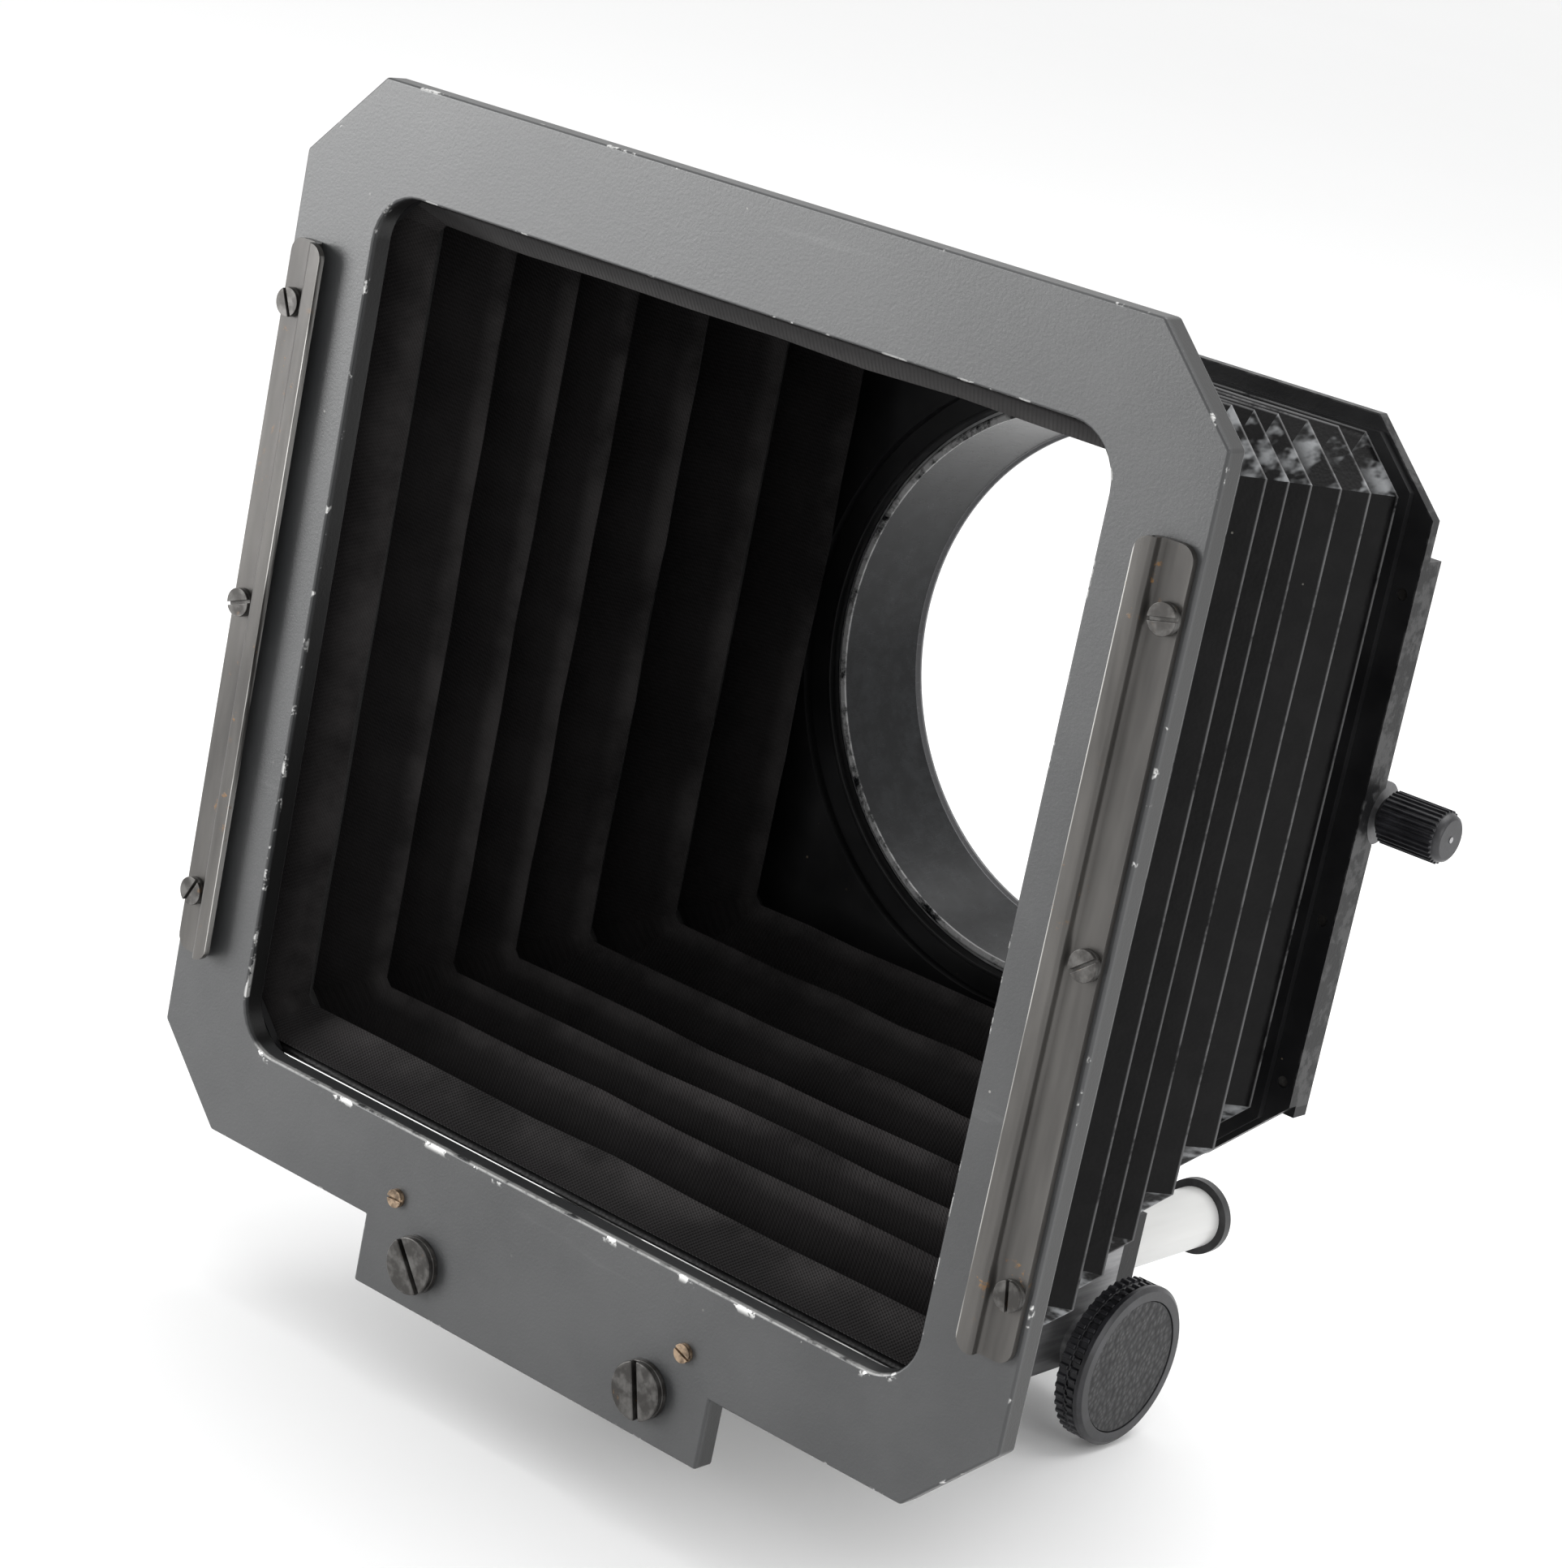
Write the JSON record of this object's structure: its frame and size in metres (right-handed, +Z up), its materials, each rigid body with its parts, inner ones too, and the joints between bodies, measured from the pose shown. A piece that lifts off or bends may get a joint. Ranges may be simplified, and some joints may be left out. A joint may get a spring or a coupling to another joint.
{
  "type": "bellows lens hood",
  "caption": "Adjustable bellows lens hood: square front plate with mask rails, pleated tapering bellows, twin rods with a focusing-style knob, and a round lens ring on a removable board.",
  "frame": {"origin": "On the lens axis, at the flat seat of the lens ring where its thread spigot begins, which is where the lens's own rim stops.", "axes": "+Y runs backwards along the lens axis, from the hood to the lens; +Z is up; +X is to the right for someone behind the camera."},
  "size_m": [0.15, 0.1337, 0.1712],
  "materials": {
    "plate_grey": "satin dark grey",
    "rail_steel": "worn, with specks of rust",
    "screw_steel": "turned",
    "screw_brown": "tarnished",
    "rod_satin": "satin",
    "black_metal": "satin black",
    "ring_grey": "worn satin",
    "clip_steel": "plain",
    "block_satin": "satin",
    "brass": "plain",
    "knob_black": "satin black",
    "leatherette": "grained, slightly shiny"
  },
  "bodies": {
    "lens_mount": {"adapter_board": "black_metal", "adapter_collar": "black_metal", "lens_ring": "ring_grey", "ring_clip": "clip_steel"},
    "rear_standard": {"rear_plate": "black_metal", "rear_rail_left": "black_metal", "rear_rail_right": "black_metal", "rear_rail_screws": "screw_steel", "board_stops": "black_metal", "clamp_boss": "block_satin", "bellows_rear_frame": "black_metal", "bellows": "leatherette", "carriage_block": "block_satin", "block_cover": "black_metal", "cover_screws": "screw_steel", "rod_bushes": "brass", "pinion_cover": "block_satin", "pinion_cover_screws": "screw_steel", "shaft_bush": "block_satin"},
    "front_standard": {"front_plate": "plate_grey", "front_rail_left": "rail_steel", "front_rail_right": "rail_steel", "front_rail_screws": "screw_steel", "backing_plate": "plate_grey", "tab_screws": "screw_steel", "backing_screws": "screw_brown", "rod_left": "rod_satin", "rod_right": "rod_satin", "rod_rack": "clip_steel", "rod_end_rings": "black_metal", "rod_end_screws": "screw_steel", "bellows_front_frame": "black_metal"},
    "focus_drive": {"drive_shaft": "clip_steel", "drive_pinion": "brass", "drive_knob": "knob_black", "knob_inlay": "leatherette"},
    "shoe": {"clamp_shoe": "clip_steel"},
    "thumb_screw": {"screw_spindle": "clip_steel", "thumb_knob": "knob_black"}
  },
  "joints": [
    {"name": "frame_drop", "type": "slide", "parent": "lens_mount", "child": "rear_standard", "axis": [0, 0, -1], "range_m": [0, 0.095]},
    {"name": "extension", "type": "slide", "parent": "rear_standard", "child": "front_standard", "axis": [0, -1, 0], "range_m": [-0.045, 0.031], "deforming": ["bellows"]},
    {"name": "knob_turn", "type": "hinge", "parent": "rear_standard", "child": "focus_drive", "pos_m": [0.0361, -0.02, -0.08653], "axis": [1, 0, 0], "range_deg": [-925, 640]},
    {"name": "shoe_travel", "type": "slide", "parent": "rear_standard", "child": "shoe", "axis": [1, 0, 0], "range_m": [0, 0.001]},
    {"name": "screw_turn", "type": "hinge", "parent": "shoe", "child": "thumb_screw", "pos_m": [0.052, -0.0065, -0.0006], "axis": [1, 0, 0], "range_deg": [0, 720]}
  ],
  "couplings": [
    {"joint": "knob_turn", "follows": "extension", "rad_per_m": 357.14},
    {"joint": "shoe_travel", "follows": "screw_turn", "m_per_rad": 0.000079577}
  ]
}
